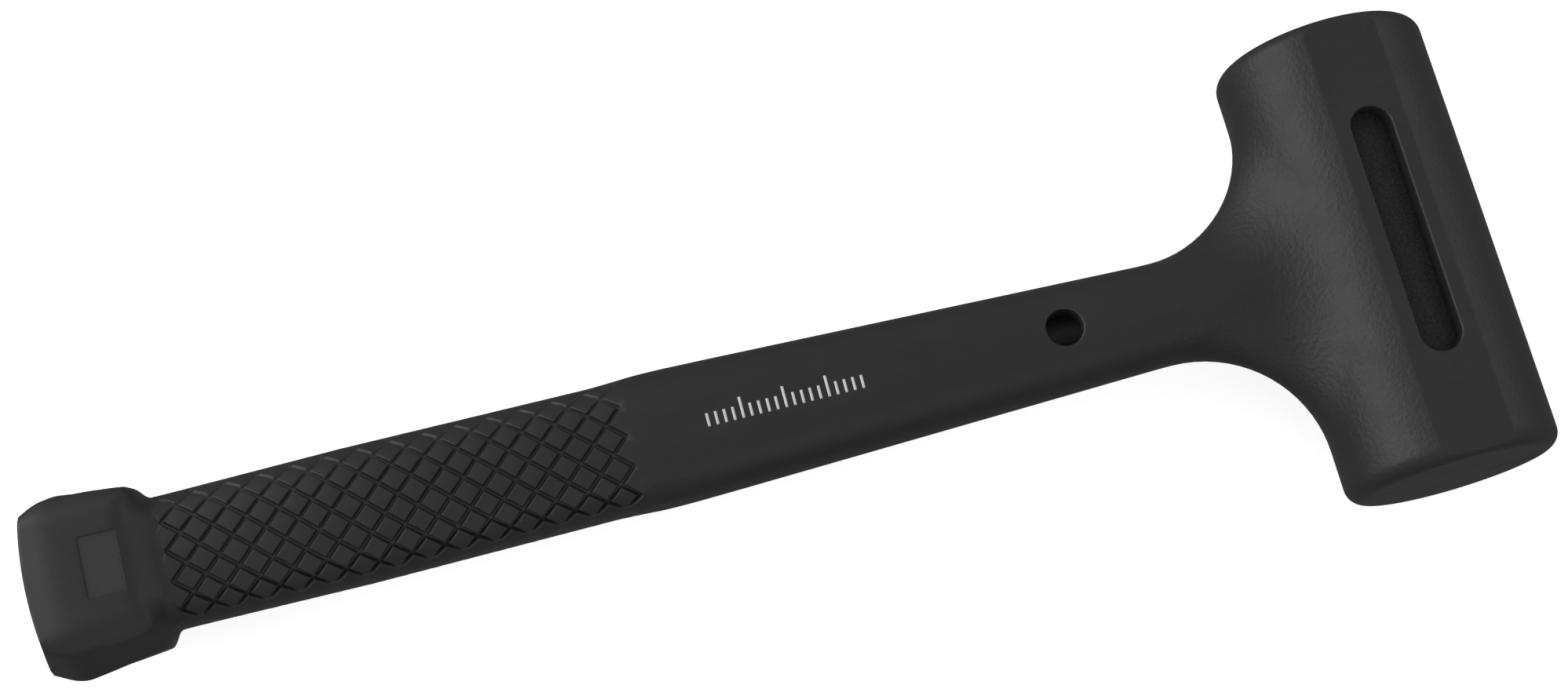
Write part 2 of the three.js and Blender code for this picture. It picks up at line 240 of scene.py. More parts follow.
SHOULDER_FOOT, SHOULDER_TOP = 288.4, 293.0  # at the sides of the handle
BROAD_SHOULDER_FOOT, BROAD_SHOULDER_TOP = 287.9, 296.5  # on its broad sides
BUTT_HALF_THICKNESS = 15.5
BUTT_WIDTHS = [(292, 18.85), (301, 19.85), (311, 20.3), (316, 20.3)]
BUTT_REACH = 320.0
CHAMFER_START, CHAMFER_SLOPE = 310.3, 0.2
CORNER_WIDTH, CORNER_SLOPE, CORNER_DISTANCE = 17.8, 0.55, 316.5
EDGE_HEIGHT = 12.5  # of the edge between the butt's top and its side walls
EDGE_PITCH = 1.9  # the place of that edge, in pitches round the section
WALL_DRAFT = 2.3
CORNER_DRAFT, CORNER_DRAFT_START, CORNER_DRAFT_REACH = 1.5, 294, 20  # more of it towards the end
END_DRAFT = 0.17
END_CROWN_RADIUS = 90.0
END_RIDGE = 1.2  # mm, how softly the end wall's two drafts meet
FALL_START, FALL_POWER = 0.62, 1.9  # where the top starts to fall, as a share of the way to its edge
SOFT_CORNER, SOFT_CHAMFER, SOFT_FALL = 1.6, 0.7, 0.5  # mm, how softly planes of the block meet


def oval(angle, half_width, half_thickness, squareness):
    """Across and height of a section at one of the superellipse's angles."""
    across = -half_width * bulge(tidy(np.sin(angle)), 2 / squareness)
    return across, half_thickness * bulge(tidy(np.cos(angle)), 2 / squareness)


def handle_sizes(distance):
    """Half width, half thickness and squareness of the handle at a distance."""
    return [eased(pairs, distance) for pairs in (WIDTHS, THICKNESSES, SQUARENESSES)]


def handle_section(distance, pitches):
    """Across and height of the handle, from its tapers."""
    return oval(section_angle(pitches), *handle_sizes(distance))


def butt_section(distance, pitches):
    """Across and height of the block: over its top, off its edge and down its drafted wall."""
    quarter, side, upper = folded(pitches)
    corner = CORNER_WIDTH + CORNER_SLOPE * (CORNER_DISTANCE - distance)
    half_width = soft_min(eased(BUTT_WIDTHS, distance), corner, SOFT_CORNER)
    edge = half_width - WALL_DRAFT
    chamfer = BUTT_HALF_THICKNESS - CHAMFER_SLOPE * (distance - CHAMFER_START)
    top = soft_min(BUTT_HALF_THICKNESS, chamfer, SOFT_CHAMFER)
    on_top = np.clip(quarter / EDGE_PITCH, 0, 1)
    down_wall = np.clip((quarter - EDGE_PITCH) / (PITCHES_ROUND / 4 - EDGE_PITCH), 0, 1)
    drop = BUTT_HALF_THICKNESS - EDGE_HEIGHT
    fallen = np.clip((on_top - FALL_START) / (1 - FALL_START), 0, 1) ** FALL_POWER
    height = soft_min(top, BUTT_HALF_THICKNESS - drop * fallen, SOFT_FALL)
    draft = WALL_DRAFT + CORNER_DRAFT * smooth_step((distance - CORNER_DRAFT_START) / CORNER_DRAFT_REACH)
    across = side * (edge * on_top + draft * down_wall)
    return across, upper * height * (1 - down_wall)


def body_section(distance, pitches):
    """Across and height of the skin anywhere from the neck to the butt's end."""
    distance, pitches = np.broadcast_arrays(np.asarray(distance, float), pitches)
    quarter, _, _ = folded(pitches)
    sideways = smooth_step(quarter - 1)  # from one to two pitches off the middle
    foot = BROAD_SHOULDER_FOOT + (SHOULDER_FOOT - BROAD_SHOULDER_FOOT) * sideways
    top = BROAD_SHOULDER_TOP + (SHOULDER_TOP - BROAD_SHOULDER_TOP) * sideways
    blend = smooth_step((distance - foot) / (top - foot))
    handle_across, handle_height = handle_section(distance, pitches)
    butt_across, butt_height = butt_section(distance, pitches)
    across = handle_across + (butt_across - handle_across) * blend
    return across, handle_height + (butt_height - handle_height) * blend


def end_wall(across, height):
    """How far out the butt's end wall is: drafted from its middle line, and gently crowned."""
    drafted = END_DRAFT * (np.hypot(height, END_RIDGE) - END_RIDGE)
    return BUTT_REACH - drafted - across**2 / (2 * END_CROWN_RADIUS)


# %% [markdown]
# ## The cut grip
#
# Two sets of slanting grooves cross on both broad sides of the grip and leave pads between them,
# 14 in a row. A bump in the material would vanish at the outline, so the grooves are cut into the
# mesh. A plain grid would leave saw teeth along a slanting groove, so here the mesh lines run the
# way the grooves run: each point has a place in both sets, and each groove gets nine mesh lines.

# %% The grip's own weave
PITCH_ALONG = 7.471
GRIP_END = 286.6  # distance of the first row of tips
PADS_ALONG = 14
BARE_MARGIN = 1.6  # mm of plain skin between the last tips and the shoulder
# Mesh lines across one pitch, as shares of it: close together in the groove, one along each pad.
GROOVE_LINES = [0, 0.045, 0.08, 0.105, 0.145, 0.5, 0.855, 0.895, 0.92, 0.955]
LINES = len(GROOVE_LINES)
GROOVE_SHAPE = [(0, 1), (0.25, 1), (0.41, 0.6), (0.54, 0.18), (0.74, 0)]  # mm off its line, depth
GROOVE_DEPTH = 0.85
GROOVE_FADE = (14.8, 16.9)  # mm of skin from the weave's middle, where grooves grow shallow and end
WEAVE_OFFSET = 1.6  # mm, how far the weave's middle lies towards -Y
SIDE_DEPTH = 0.35  # how much deeper grooves get at the side towards -Y, and shallower at the other
SIDE_DEPTH_START, SIDE_DEPTH_REACH = 6, 8  # mm of skin


def line_place(index):
    """The place of a mesh line in one set of grooves, with a groove at each whole number."""
    return index // LINES + np.take(GROOVE_LINES, np.mod(index, LINES))


def millimetres_along(along):
    """Millimetres from the first row of tips; the half pad beyond them shrinks to the bare margin."""
    return np.where(along < 0, along * 2 * BARE_MARGIN, along * PITCH_ALONG)


def groove_distance(along, round_, groove, slant):
    """Millimetres from the nearest point of a groove that starts and ends with the grip."""
    length = math.hypot(PITCH_ALONG, PITCH_ROUND)
    e_along, e_round = PITCH_ALONG / length, slant * PITCH_ROUND / length
    p_along = millimetres_along(along)
    p_round = (round_ - groove) * PITCH_ROUND
    reach = np.clip(p_along * e_along + p_round * e_round, 0, PADS_ALONG * length)
    return np.hypot(p_along - reach * e_along, p_round - reach * e_round)


def groove_depth(along, pitches):
    """How deep the weave is cut at a place, from its nearest groove of either set."""
    first = groove_distance(along, pitches, np.round(along + pitches), -1)
    second = groove_distance(along, pitches, -np.round(along - pitches), 1)
    offsets, depths = zip(*GROOVE_SHAPE)
    depth = np.interp(np.minimum(first, second), offsets, depths)
    quarter, side, _ = folded(pitches)
    arc = np.abs(arc_from_middle(quarter) + side * WEAVE_OFFSET)
    fade = (GROOVE_FADE[1] - arc) / (GROOVE_FADE[1] - GROOVE_FADE[0])
    sideways = smooth_step((arc - SIDE_DEPTH_START) / SIDE_DEPTH_REACH)
    deeper = 1 - side * SIDE_DEPTH * sideways
    return GROOVE_DEPTH * depth * deeper * smooth_step(fade)


def cut_grip(skin):
    """Adds the grip's weave and returns its ring at the butt and its ring at the neck."""
    first_row, last_row = -LINES, (2 * PADS_ALONG + 1) * LINES
    rows = np.arange(first_row, last_row + 1)[:, None]
    lines = np.arange(RING)[None, :]
    first_set, second_set = line_place(lines), line_place(rows - lines)
    along, pitches = (first_set + second_set) / 2, (first_set - second_set) / 2
    distance = GRIP_END - millimetres_along(along)
    across, height = body_section(distance, pitches)
    half_width, half_thickness, squareness = GRIP_SECTION
    normal_y = bulge(across / half_width, squareness - 1) / half_width
    normal_z = bulge(height / half_thickness, squareness - 1) / half_thickness
    depth = groove_depth(along, pitches) / np.hypot(normal_y, normal_z)
    numbers = skin.add(distance, across - normal_y * depth, height - normal_z * depth).reshape(along.shape)

    def number(row, line):
        return numbers[row, np.mod(line, RING)]

    def add_faces(*corners):
        skin.faces.extend(np.column_stack([number(row, line) for row, line in corners]).tolist())

    line = np.arange(RING)
    for row in range(len(rows) - 2):
        add_faces((row, line), (row + 1, line + 1), (row + 2, line + 1), (row + 1, line))
    last = len(rows) - 1
    add_faces((0, line), (1, line + 1), (0, line + 1))
    add_faces((last - 1, line), (last, line + 1), (last, line))
    start = line - LINES // 2
    return number(0, start), number(last, start + (PADS_ALONG + 1) * LINES)


skin = Skin()
columns = np.arange(RING)
even_pitches = columns / LINES
grip_pitches = line_place(columns - LINES // 2) + 0.5
grip_butt_ring, grip_neck_ring = cut_grip(skin)
print("grip:", len(skin.points), "points in", len(skin.faces), "faces")

# %% [markdown]
# ## The butt
#
# From the grip the rings go over the shoulder and along the block. Past the place where its end
# is planed, each ring stops at its own share of the way to the end wall, so that the last ring
# lies on the wall's edge all round. The last two rings stand back a little and round that edge.
# Smaller and smaller rings then close the wall.

# %% Shoulder, block and end wall
GRIP_BUTT_DISTANCE = GRIP_END + BARE_MARGIN
BUTT_EVENING = 6  # mm over which the weave's uneven lines become even ones
BLOCK_END = CHAMFER_START - 1.2


def rings_between(skin, previous, distances, pitches_at):
    """Adds a ring at each distance and stitches it to the one before."""
    for distance in distances:
        previous = skin.grow(previous, distance, *body_section(distance, pitches_at(distance)))
    return previous


def butt_pitches(distance):
    """Places of the ring's points, which even out on the way to the butt."""
    evened = smooth_step((distance - GRIP_BUTT_DISTANCE) / BUTT_EVENING)
    return grip_pitches + (even_pitches - grip_pitches) * evened


shoulder = np.arange(GRIP_BUTT_DISTANCE + 0.35, SHOULDER_TOP + 0.6, 0.45)
block = np.linspace(SHOULDER_TOP + 1.5, BLOCK_END, 10)
ring = rings_between(skin, grip_butt_ring, [*shoulder, *block], butt_pitches)

wall_distance = np.full(RING, CORNER_DISTANCE + 1)
for _ in range(30):
    wall_distance = (wall_distance + end_wall(*body_section(wall_distance, even_pitches))) / 2
for share in [*np.linspace(0.07, 0.3, 8), *np.linspace(0.38, 0.9, 8), 0.95, 0.985, 1]:
    distance = BLOCK_END + (wall_distance - BLOCK_END) * share
    across, height = body_section(distance, even_pitches)
    rounding = 0.22 if share == 1 else 0.05 if share > 0.98 else 0
    inward = (1 - rounding / 20, 1 - rounding / 15)  # 20 and 15 are about the wall's half sizes
    ring = skin.grow(ring, distance - rounding, across * inward[0], height * inward[1])
for share in [0.965, 0.9, 0.8, 0.68, 0.55, 0.42, 0.28, 0.14]:
    wall = end_wall(across * share, height * share)
    ring = skin.grow(ring, wall, across * share, height * share)
skin.close(ring, skin.add(BUTT_REACH, 0, 0)[0])
print("with the butt:", len(skin.faces), "faces")

# %% [markdown]
# ## The neck and the hollow round it
#
# The hollow where the handle meets the head is what a ball leaves when it rolls round the neck and
# touches both. That gives it exactly: the ball's centre is one radius off the neck and stays one
# radius off the head, and each section is an arc between its two points of touch. The curve of
# touch lies on the head's own cylinder, so the two surfaces meet there without a crease.

# %% Handle, neck and rolling-ball hollow
GRIP_NECK_DISTANCE = GRIP_END - (PADS_ALONG + 0.5) * PITCH_ALONG
NECK_EVENING = 14  # mm over which the weave's uneven lines become even ones


def neck_pitches(distance):
    """Places of the ring's points, which even out on the way to the neck."""
    evened = smooth_step((GRIP_NECK_DISTANCE - distance) / NECK_EVENING)
    return grip_pitches + (even_pitches - grip_pitches) * evened


collar = np.arange(GRIP_NECK_DISTANCE - 1.2, 160, -1.2)
shaft = np.linspace(collar[-1] - 2, NECK_START, 52)
ring = rings_between(skin, grip_neck_ring, [*collar, *shaft], neck_pitches)

angle = section_angle(even_pitches)
half_width, half_thickness, squareness = NECK_SECTION
neck_across, neck_height = oval(angle, *NECK_SECTION)
outward = np.column_stack(
    [
        np.zeros(RING),
        -bulge(tidy(np.sin(angle)), 2 - 2 / squareness) / half_width,
        bulge(tidy(np.cos(angle)), 2 - 2 / squareness) / half_thickness,
    ]
)
outward /= np.linalg.norm(outward, axis=1)[:, None]
centres = np.column_stack([np.zeros(RING), neck_across, neck_height]) + FILLET_RADIUS * outward
centres[:, 0] = np.sqrt(FILLET_REACH**2 - centres[:, 2] ** 2)
to_head = np.column_stack([-centres[:, 0], np.zeros(RING), -centres[:, 2]]) / FILLET_REACH
turn = np.arccos(np.clip(np.sum(to_head * -outward, axis=1), -1, 1))[:, None]
for share in np.linspace(0, 1, 19):
    arm = (np.sin(share * turn) * to_head - np.sin((1 - share) * turn) * outward) / np.sin(turn)
    ring = skin.grow(ring, *(centres + FILLET_RADIUS * arm).T)
touch_points = centres + FILLET_RADIUS * to_head
touch_angle = np.degrees(np.arctan2(touch_points[:, 2], touch_points[:, 0]))
print("the hollow reaches", round(float(touch_angle.max()), 1), "degrees round the head")

# %% [markdown]
# ## The head
#
# The head is a grid of lines round its cylinder and rows along it, with a window left open towards
# the handle. A few rings between the curve of touch and the window's frame join the two. The flats
# on both sides come from holding every height below theirs, with a soft edge.

# %% Head, window and striking faces
HALF_LENGTH = 53.7
FACE_RADIUS = 4.0
FLAT_HEIGHT = 23.5
FLAT_SOFTNESS = 0.12
WINDOW_ANGLE, WINDOW_HALF = 58.0, 46.5
WINDOW_COLUMNS, WINDOW_ROWS = 22, 38


def on_head(angle_degrees, row, radius=HEAD_RADIUS):
    """Distance, across and height of a place on the head, its flats held down."""
    turned = np.radians(angle_degrees)
    height = radius * np.sin(turned)
    held = soft_min(np.abs(height), FLAT_HEIGHT, FLAT_SOFTNESS)
    return radius * np.cos(turned), row, np.sign(height) * held


def window_frame():
    """The window's edge as (angle, across) from the middle of its upper side, towards -Y."""
    half_rows = WINDOW_ROWS // 2
    top = [(WINDOW_ANGLE, -WINDOW_HALF * i / half_rows) for i in range(half_rows)]
    side = [(WINDOW_ANGLE * (1 - 2 * i / WINDOW_COLUMNS), -WINDOW_HALF) for i in range(WINDOW_COLUMNS)]
    low = [(-WINDOW_ANGLE, -WINDOW_HALF * (1 - i / half_rows)) for i in range(half_rows)]
    quarter = top + side + low
    return np.array(quarter + [(-a, -y) for a, y in quarter])


frame_points = window_frame()
JOIN_RINGS = 8
for step in range(1, JOIN_RINGS):
    share = step / JOIN_RINGS
    join_angle = touch_angle + (frame_points[:, 0] - touch_angle) * share
    join_row = touch_points[:, 1] + (frame_points[:, 1] - touch_points[:, 1]) * share
    ring = skin.grow(ring, *on_head(join_angle, join_row))

flat_edge = math.degrees(math.asin(FLAT_HEIGHT / HEAD_RADIUS))
edge_angles = np.array([-1.2, -0.5, 0, 0.5, 1.2])  # lines close together at the edge of a flat
window_angles = np.linspace(-WINDOW_ANGLE, WINDOW_ANGLE, WINDOW_COLUMNS + 1)
upper_angles = [
    *np.linspace(WINDOW_ANGLE, flat_edge - 2.4, 5)[1:],
    *(flat_edge + edge_angles),
    *np.linspace(flat_edge + 3, 177 - flat_edge, 14),
    *(180 - flat_edge + edge_angles),
    *np.linspace(182.4 - flat_edge, 180, 20),
]
head_angles = np.array([*window_angles, *upper_angles, *[360 - a for a in reversed(upper_angles[:-1])]])
window_rows = np.linspace(-WINDOW_HALF, WINDOW_HALF, WINDOW_ROWS + 1)
rim_turns = np.radians(np.linspace(0, 90, 12))
rim_rows = HALF_LENGTH - FACE_RADIUS + FACE_RADIUS * np.sin(rim_turns)
rim_radii = HEAD_RADIUS - FACE_RADIUS + FACE_RADIUS * np.cos(rim_turns)
face_radii = rim_radii[-1] * np.array([0.9, 0.75, 0.6, 0.45, 0.3, 0.15])
rows_out = [*rim_rows, *[HALF_LENGTH] * len(face_radii)]
radii_out = [*rim_radii, *face_radii]
head_rows = np.array([*[-row for row in reversed(rows_out)], *window_rows, *rows_out])
head_radii = np.array([*reversed(radii_out), *[HEAD_RADIUS] * len(window_rows), *radii_out])
grid = skin.add(*on_head(head_angles[None, :], head_rows[:, None], head_radii[:, None]))
grid = grid.reshape(len(head_rows), len(head_angles))
first_window_row = len(rows_out)
for row in range(len(head_rows) - 1):
    in_rows = first_window_row <= row < first_window_row + WINDOW_ROWS
    for column in range(len(head_angles)):
        if not (in_rows and column < WINDOW_COLUMNS):
            after = (column + 1) % len(head_angles)
            near, far = grid[row], grid[row + 1]
            skin.faces.append([near[column], near[after], far[after], far[column]])
skin.close(grid[0], skin.add(0, -HALF_LENGTH, 0)[0])
skin.close(grid[-1], skin.add(0, HALF_LENGTH, 0)[0])

frame_ring = [
    grid[
        first_window_row + int(round((y + WINDOW_HALF) / (2 * WINDOW_HALF) * WINDOW_ROWS)),
        int(round((a + WINDOW_ANGLE) / (2 * WINDOW_ANGLE) * WINDOW_COLUMNS)),
    ]
    for a, y in frame_points
]
skin.stitch(ring, np.array(frame_ring))
jacket = new_object("jacket", skin.points, skin.faces)
print("jacket skin:", len(skin.points), "points,", len(skin.faces), "faces")

# %% [markdown]
# ## Openings and the space for the core
#
# The mould held the steel core with bars and pins while the jacket was poured, and they left a
# slot in each flat of the head and a blind hole in each side of the neck. A shallow recess lies in
# each broad side of the butt and is left plain. All are cut with Booleans. Each cutter flares like
# a bell at its mouth, so the rim that it leaves is round.

# %% Cutters with flared mouths
MOUTH_RADIUS = 0.5
SLOT_LENGTH, SLOT_WIDTH, SLOT_MIDDLE = 59.6, 9.6, 0.5
PIN_DISTANCE, PIN_DIAMETER = 79.2, 8.6
BADGE_DISTANCE, BADGE_LENGTH, BADGE_WIDTH, BADGE_DEPTH = 300.4, 8.8, 14.4, 0.5
BADGE_EDGE_RADIUS = 0.15
GAP = 0.3  # between the jacket and the steel inside it


def rounded_outline(half_along, half_across, corner, steps=8):
    """A rounded rectangle as points and outward directions, (distance, across)."""
    points, directions = [], []
    for quadrant, (sign_along, sign_across) in enumerate([(1, 1), (-1, 1), (-1, -1), (1, -1)]):
        for turn in np.linspace(0, math.pi / 2, steps + 1) + quadrant * math.pi / 2:
            direction = np.array([math.cos(turn), math.sin(turn)])
            centre = np.array([sign_along * (half_along - corner), sign_across * (half_across - corner)])
            points.append(centre + corner * direction)
            directions.append(direction)
    return np.array(points), np.array(directions)


def mouth_profile(radius, floor_depth, floor_radius=0.0):
    """(outward, height above the surface) pairs of a cutter with a flared mouth."""
    turns = np.linspace(0, math.radians(78), 5)
    flare = [(radius * (1 - math.cos(t)), radius * (math.sin(t) - 1)) for t in turns]
    floor = [(-floor_radius, -floor_depth), (0, floor_radius - floor_depth)]
    return [*floor, *flare, (radius * 1.6, 0.4), (radius * 1.6, 3)]


def flared_cutter(name, centre_distance, outline, surface, profile, side=1):
    """A cutter that follows the surface it opens. The surface gives height from distance, across."""
    points, directions = outline
    cutter = Skin()
    rings = []
    for outward, rise in profile:
        distance = centre_distance + points[:, 0] + outward * directions[:, 0]
        across = points[:, 1] + outward * directions[:, 1]
        rings.append(cutter.add(distance, across, side * (surface(distance, across) + rise)))
    for near, far in zip(rings, rings[1:]):
        cutter.stitch(near, far)
    cutter.faces.append(rings[0].tolist())
    cutter.faces.append(rings[-1].tolist())
    return new_object(name, cutter.points, cutter.faces)


def flat_surface(height):
    """A level surface for a cutter to follow."""
    return lambda distance, across: np.full_like(distance, height)


def neck_surface(distance, across):
    """The neck's height, for a cutter to follow."""
    width, thickness, squareness = handle_sizes(distance)
    return thickness * (1 - np.abs(across / width) ** squareness) ** (1 / squareness)


slot_outline = rounded_outline(SLOT_WIDTH / 2, SLOT_LENGTH / 2, SLOT_WIDTH / 2 - 0.001, steps=14)
slot_outline[0][:, 1] += SLOT_MIDDLE
pin_outline = rounded_outline(PIN_DIAMETER / 2, PIN_DIAMETER / 2, PIN_DIAMETER / 2 - 0.001, steps=12)
badge_outline = rounded_outline(BADGE_LENGTH / 2, BADGE_WIDTH / 2, 0.6, steps=4)
openings = [
    ("slot", 0, slot_outline, flat_surface(FLAT_HEIGHT), mouth_profile(MOUTH_RADIUS, 10)),
    ("pin", PIN_DISTANCE, pin_outline, neck_surface, mouth_profile(MOUTH_RADIUS, 8)),
    (
        "badge",
        BADGE_DISTANCE,
        badge_outline,
        flat_surface(BUTT_HALF_THICKNESS),
        mouth_profile(BADGE_EDGE_RADIUS, BADGE_DEPTH, BADGE_EDGE_RADIUS),
    ),
]
cutters = [flared_cutter(*opening, side) for side in (1, -1) for opening in openings]

# %% [markdown]
# The space for the core is turned on a lathe: a profile of radii and places along an axis. It is
# the core's own outline with a gap of 0.3 mm all round, so that no two surfaces share a place.

# %% Lathe and the space for the core
CANISTER_RADIUS, CANISTER_HALF = 19.0, 41.0
CAP_RADIUS, CAP_OUTSIDE, CAP_WELD_WIDTH = 16.7, 39.5, 2.2
ROD_RADIUS, ROD_END, ROD_CHAMFER = 6.0, 300.0, 1.2
BEAD_RADIUS, BEAD_START, BEAD_REACH = 10.5, 13.0, 6.0


def turned(name, profile, along_handle, sides=64, material=None):
    """A closed turned solid. Profile points are (radius, place along the axis)."""
    around = np.linspace(0, 2 * math.pi, sides, endpoint=False)
    body = Skin()
    rings = []
    for radius, place in profile[1:-1]:
        one, two = radius * np.cos(around), radius * np.sin(around)
        rings.append(body.add(place, one, two) if along_handle else body.add(one, place, two))
    for near, far in zip(rings, rings[1:]):
        body.stitch(near, far)
    for ring, (_, place) in ((rings[0], profile[0]), (rings[-1], profile[-1])):
        centre = (place, 0, 0) if along_handle else (0, place, 0)
        body.close(ring, body.add(*centre)[0])
    return new_object(name, body.points, body.faces, material)


def canister_profile(margin):
    """The canister with its caps and welds, larger by a margin all round."""
    weld_foot = CAP_RADIUS - CAP_WELD_WIDTH - 2 * margin
    half = [
        (0, CAP_OUTSIDE + margin),
        (weld_foot, CAP_OUTSIDE + margin),
        (CAP_RADIUS, CANISTER_HALF + margin),
        (CANISTER_RADIUS + margin, CANISTER_HALF + margin),
    ]
    return [(radius, -place) for radius, place in half] + half[::-1]


rod_space = [
    (0, 2),
    (ROD_RADIUS + GAP, 2),
    (ROD_RADIUS + GAP, ROD_END - ROD_CHAMFER),
    (ROD_RADIUS - ROD_CHAMFER, ROD_END + GAP),
    (0, ROD_END + GAP),
]
bead_end = CANISTER_RADIUS + BEAD_REACH + GAP
bead_space = [
    (0, BEAD_START),
    (BEAD_RADIUS + GAP, BEAD_START),
    (BEAD_RADIUS + GAP, CANISTER_RADIUS + 1 + GAP),
    (8.25 + GAP, CANISTER_RADIUS + 3.3 + GAP),
    (ROD_RADIUS + 0.6 + GAP, bead_end),
    (0, bead_end),
]
spaces = [
    turned("canister space", canister_profile(GAP), False),
    turned("rod space", rod_space, True, 32),
    turned("bead space", bead_space, True, 32),
]


def cut_away(piece, cutter):
    """Cuts one solid out of another and removes the cutter."""
    cut = piece.modifiers.new("cut", "BOOLEAN")
    cut.operation = "DIFFERENCE"
    cut.solver = "MANIFOLD"
    cut.object = cutter
    bpy.context.view_layer.update()
    evaluated = piece.evaluated_get(bpy.context.evaluated_depsgraph_get())
    mesh = bpy.data.meshes.new_from_object(evaluated)
    piece.modifiers.clear()
    piece.data = mesh
    bpy.data.objects.remove(cutter)


SHARP_DEGREES = 38
for cutter in cutters + spaces:
    cut_away(jacket, cutter)
jacket.data.name = "jacket"
jacket.data.shade_smooth()
jacket.data.set_sharp_from_angle(angle=math.radians(SHARP_DEGREES))
# Large faces decide how the edges beside them are shaded, so flats look flat.
weigh = jacket.modifiers.new("weigh normals by area", "WEIGHTED_NORMAL")
weigh.keep_sharp = True
print("jacket after cutting:", len(jacket.data.vertices), "points")

# %% [markdown]
# ## Finishes as small sums
#
# A finish that stays true at every size and from every side is worked out from the place on the
# piece, so each one here is a sum of noise, waves and masks. Written as nodes alone, sums are hard
# to read. One small class lets them be written as Python arithmetic instead. It serves the trees
# of Geometry Nodes further down in the same way.

# %% Sums on nodes
def math_node(operation, swapped=False):
    """A method for Value that adds a Math node, with its two values swapped if asked."""

    def method(self, *others):
        values = (*others, self) if swapped else (self, *others)
        return self.nodes.node("ShaderNodeMath", dict(enumerate(values)), {"operation": operation})

    return method


class Value:
    """One output of a node, ready for arithmetic."""

    __add__ = __radd__ = math_node("ADD")
    __sub__ = math_node("SUBTRACT")
    __rsub__ = math_node("SUBTRACT", swapped=True)
    __mul__ = __rmul__ = math_node("MULTIPLY")
    __truediv__ = math_node("DIVIDE")
    __mod__ = math_node("MODULO")
    floor = math_node("FLOOR")
    root = math_node("SQRT")
    distance = math_node("ABSOLUTE")
    larger = math_node("MAXIMUM")
    above = math_node("GREATER_THAN")  # 1 where the value is above the limit, 0 elsewhere
    near = math_node("COMPARE")  # 1 where two values lie within a margin of each other

    def __init__(self, nodes, socket):
        self.nodes = nodes
        self.socket = socket

    def between(self, low, high):
        """0 at low, 1 at high, and smooth in between, whichever of them is the larger."""
        sockets = {"Value": self, "From Min": low, "From Max": high}
        return self.nodes.node("ShaderNodeMapRange", sockets, {"interpolation_type": "SMOOTHSTEP"})


class Nodes:
    """A tree of nodes, to which any node is added in one way."""

    def node(self, kind, sockets=None, settings=None, output=0):
        """Any node: its settings are made first, then its sockets get values or links."""
        made = self.tree.nodes.new(kind)
        for name, setting in (settings or {}).items():
            setattr(made, name, setting)
        for key, value in (sockets or {}).items():
            if isinstance(value, Value):
                self.tree.links.new(value.socket, made.inputs[key])
            else:
                made.inputs[key].default_value = value
        return Value(self, made.outputs[output])


class Finish(Nodes):
    """A material whose look comes from its nodes. Places on the piece are in millimetres."""

    def __init__(self, name):
        self.material = bpy.data.materials.new(name)
        self.material.use_nodes = True
        self.tree = self.material.node_tree
        self.tree.nodes.clear()
        spot = self.node("ShaderNodeTexCoord", output="Object")
        scaled = {0: spot, "Scale": 1 / MM}
        self.place = self.node("ShaderNodeVectorMath", scaled, {"operation": "SCALE"})

    def noise(self, size, detail=2.0, roughness=0.5, place=None):
        """Noise whose blotches are about this many millimetres across, from 0 to 1."""
        shape = {"Scale": 1 / size, "Detail": detail, "Roughness": roughness}
        return self.node("ShaderNodeTexNoise", {"Vector": place or self.place, **shape})

    def stretched(self, along, across, up):
        """Places squeezed along an axis, so that noise on them is drawn out along it."""
        factors = (1 / along, 1 / across, 1 / up)
        return self.node("ShaderNodeVectorMath", {0: self.place, 1: factors}, {"operation": "MULTIPLY"})

    def axis(self, name):
        return self.node("ShaderNodeSeparateXYZ", {0: self.place}, output=name)

    def mix(self, share, first, second):
        """Two colours mixed. A Mix node keeps its colours at inputs 6 and 7 and output 2."""
        colours = [c if isinstance(c, Value) else (*c, 1) for c in (first, second)]
        sockets = {"Factor": share, 6: colours[0], 7: colours[1]}
        return self.node("ShaderNodeMix", sockets, {"data_type": "RGBA"}, output=2)

    def bump(self, height, depth_mm):
        sockets = {"Height": height, "Strength": 1.0, "Distance": depth_mm * MM}
        return self.node("ShaderNodeBump", sockets)

    def surface(self, **sockets):
        """Ends the material with its shader. Underscores in names stand for spaces."""
        named = {name.replace("_", " "): value for name, value in sockets.items()}
        shader = self.node("ShaderNodeBsdfPrincipled", named)
        output = self.tree.nodes.new("ShaderNodeOutputMaterial")
        self.tree.links.new(shader.socket, output.inputs["Surface"])
        return self.material


# %% [markdown]
# ## Moulded polyurethane
#
# The jacket is a satin, almost black plastic. Close up it isn't even: the mould's own surface
# leaves a fine orange peel, cooling leaves slow ripples, and use leaves hair scratches and faint
# rub marks. The peel is strongest on the head, and the recesses in the butt have a fine grain.
# The colour hardly changes, so most of the look comes from bump and roughness.

# %% The jacket's finish
satin = Finish("moulded polyurethane")
peel = satin.noise(1.1, detail=3, roughness=0.55)
ripples = satin.noise(9, detail=1)
clouds = satin.noise(22, detail=3, roughness=0.6)
rub_places = satin.stretched(3.5, 1.2, 1.2)
rubs = satin.noise(5, detail=4, roughness=0.65, place=rub_places)
scratch_lines = satin.noise(0.9, detail=1, place=satin.stretched(14, 0.5, 0.5))
scratches = scratch_lines.between(0.68, 0.74)
to_head_axis = satin.axis("X") - AXIS_X / MM
off_middle = (satin.axis("Z") - MIDDLE_Z / MM).distance()
parting = off_middle.between(0.22, 0.05)
near_head = to_head_axis.between(-85, -50)
badge_x, badge_y = BADGE_LENGTH / 2, BADGE_WIDTH / 2
badge_along = (to_head_axis + BADGE_DISTANCE).distance().between(badge_x + 0.1, badge_x - 0.3)
badge_across = satin.axis("Y").distance().between(badge_y + 0.1, badge_y - 0.3)
below_top = off_middle.between(BUTT_HALF_THICKNESS, BUTT_HALF_THICKNESS - 0.2)
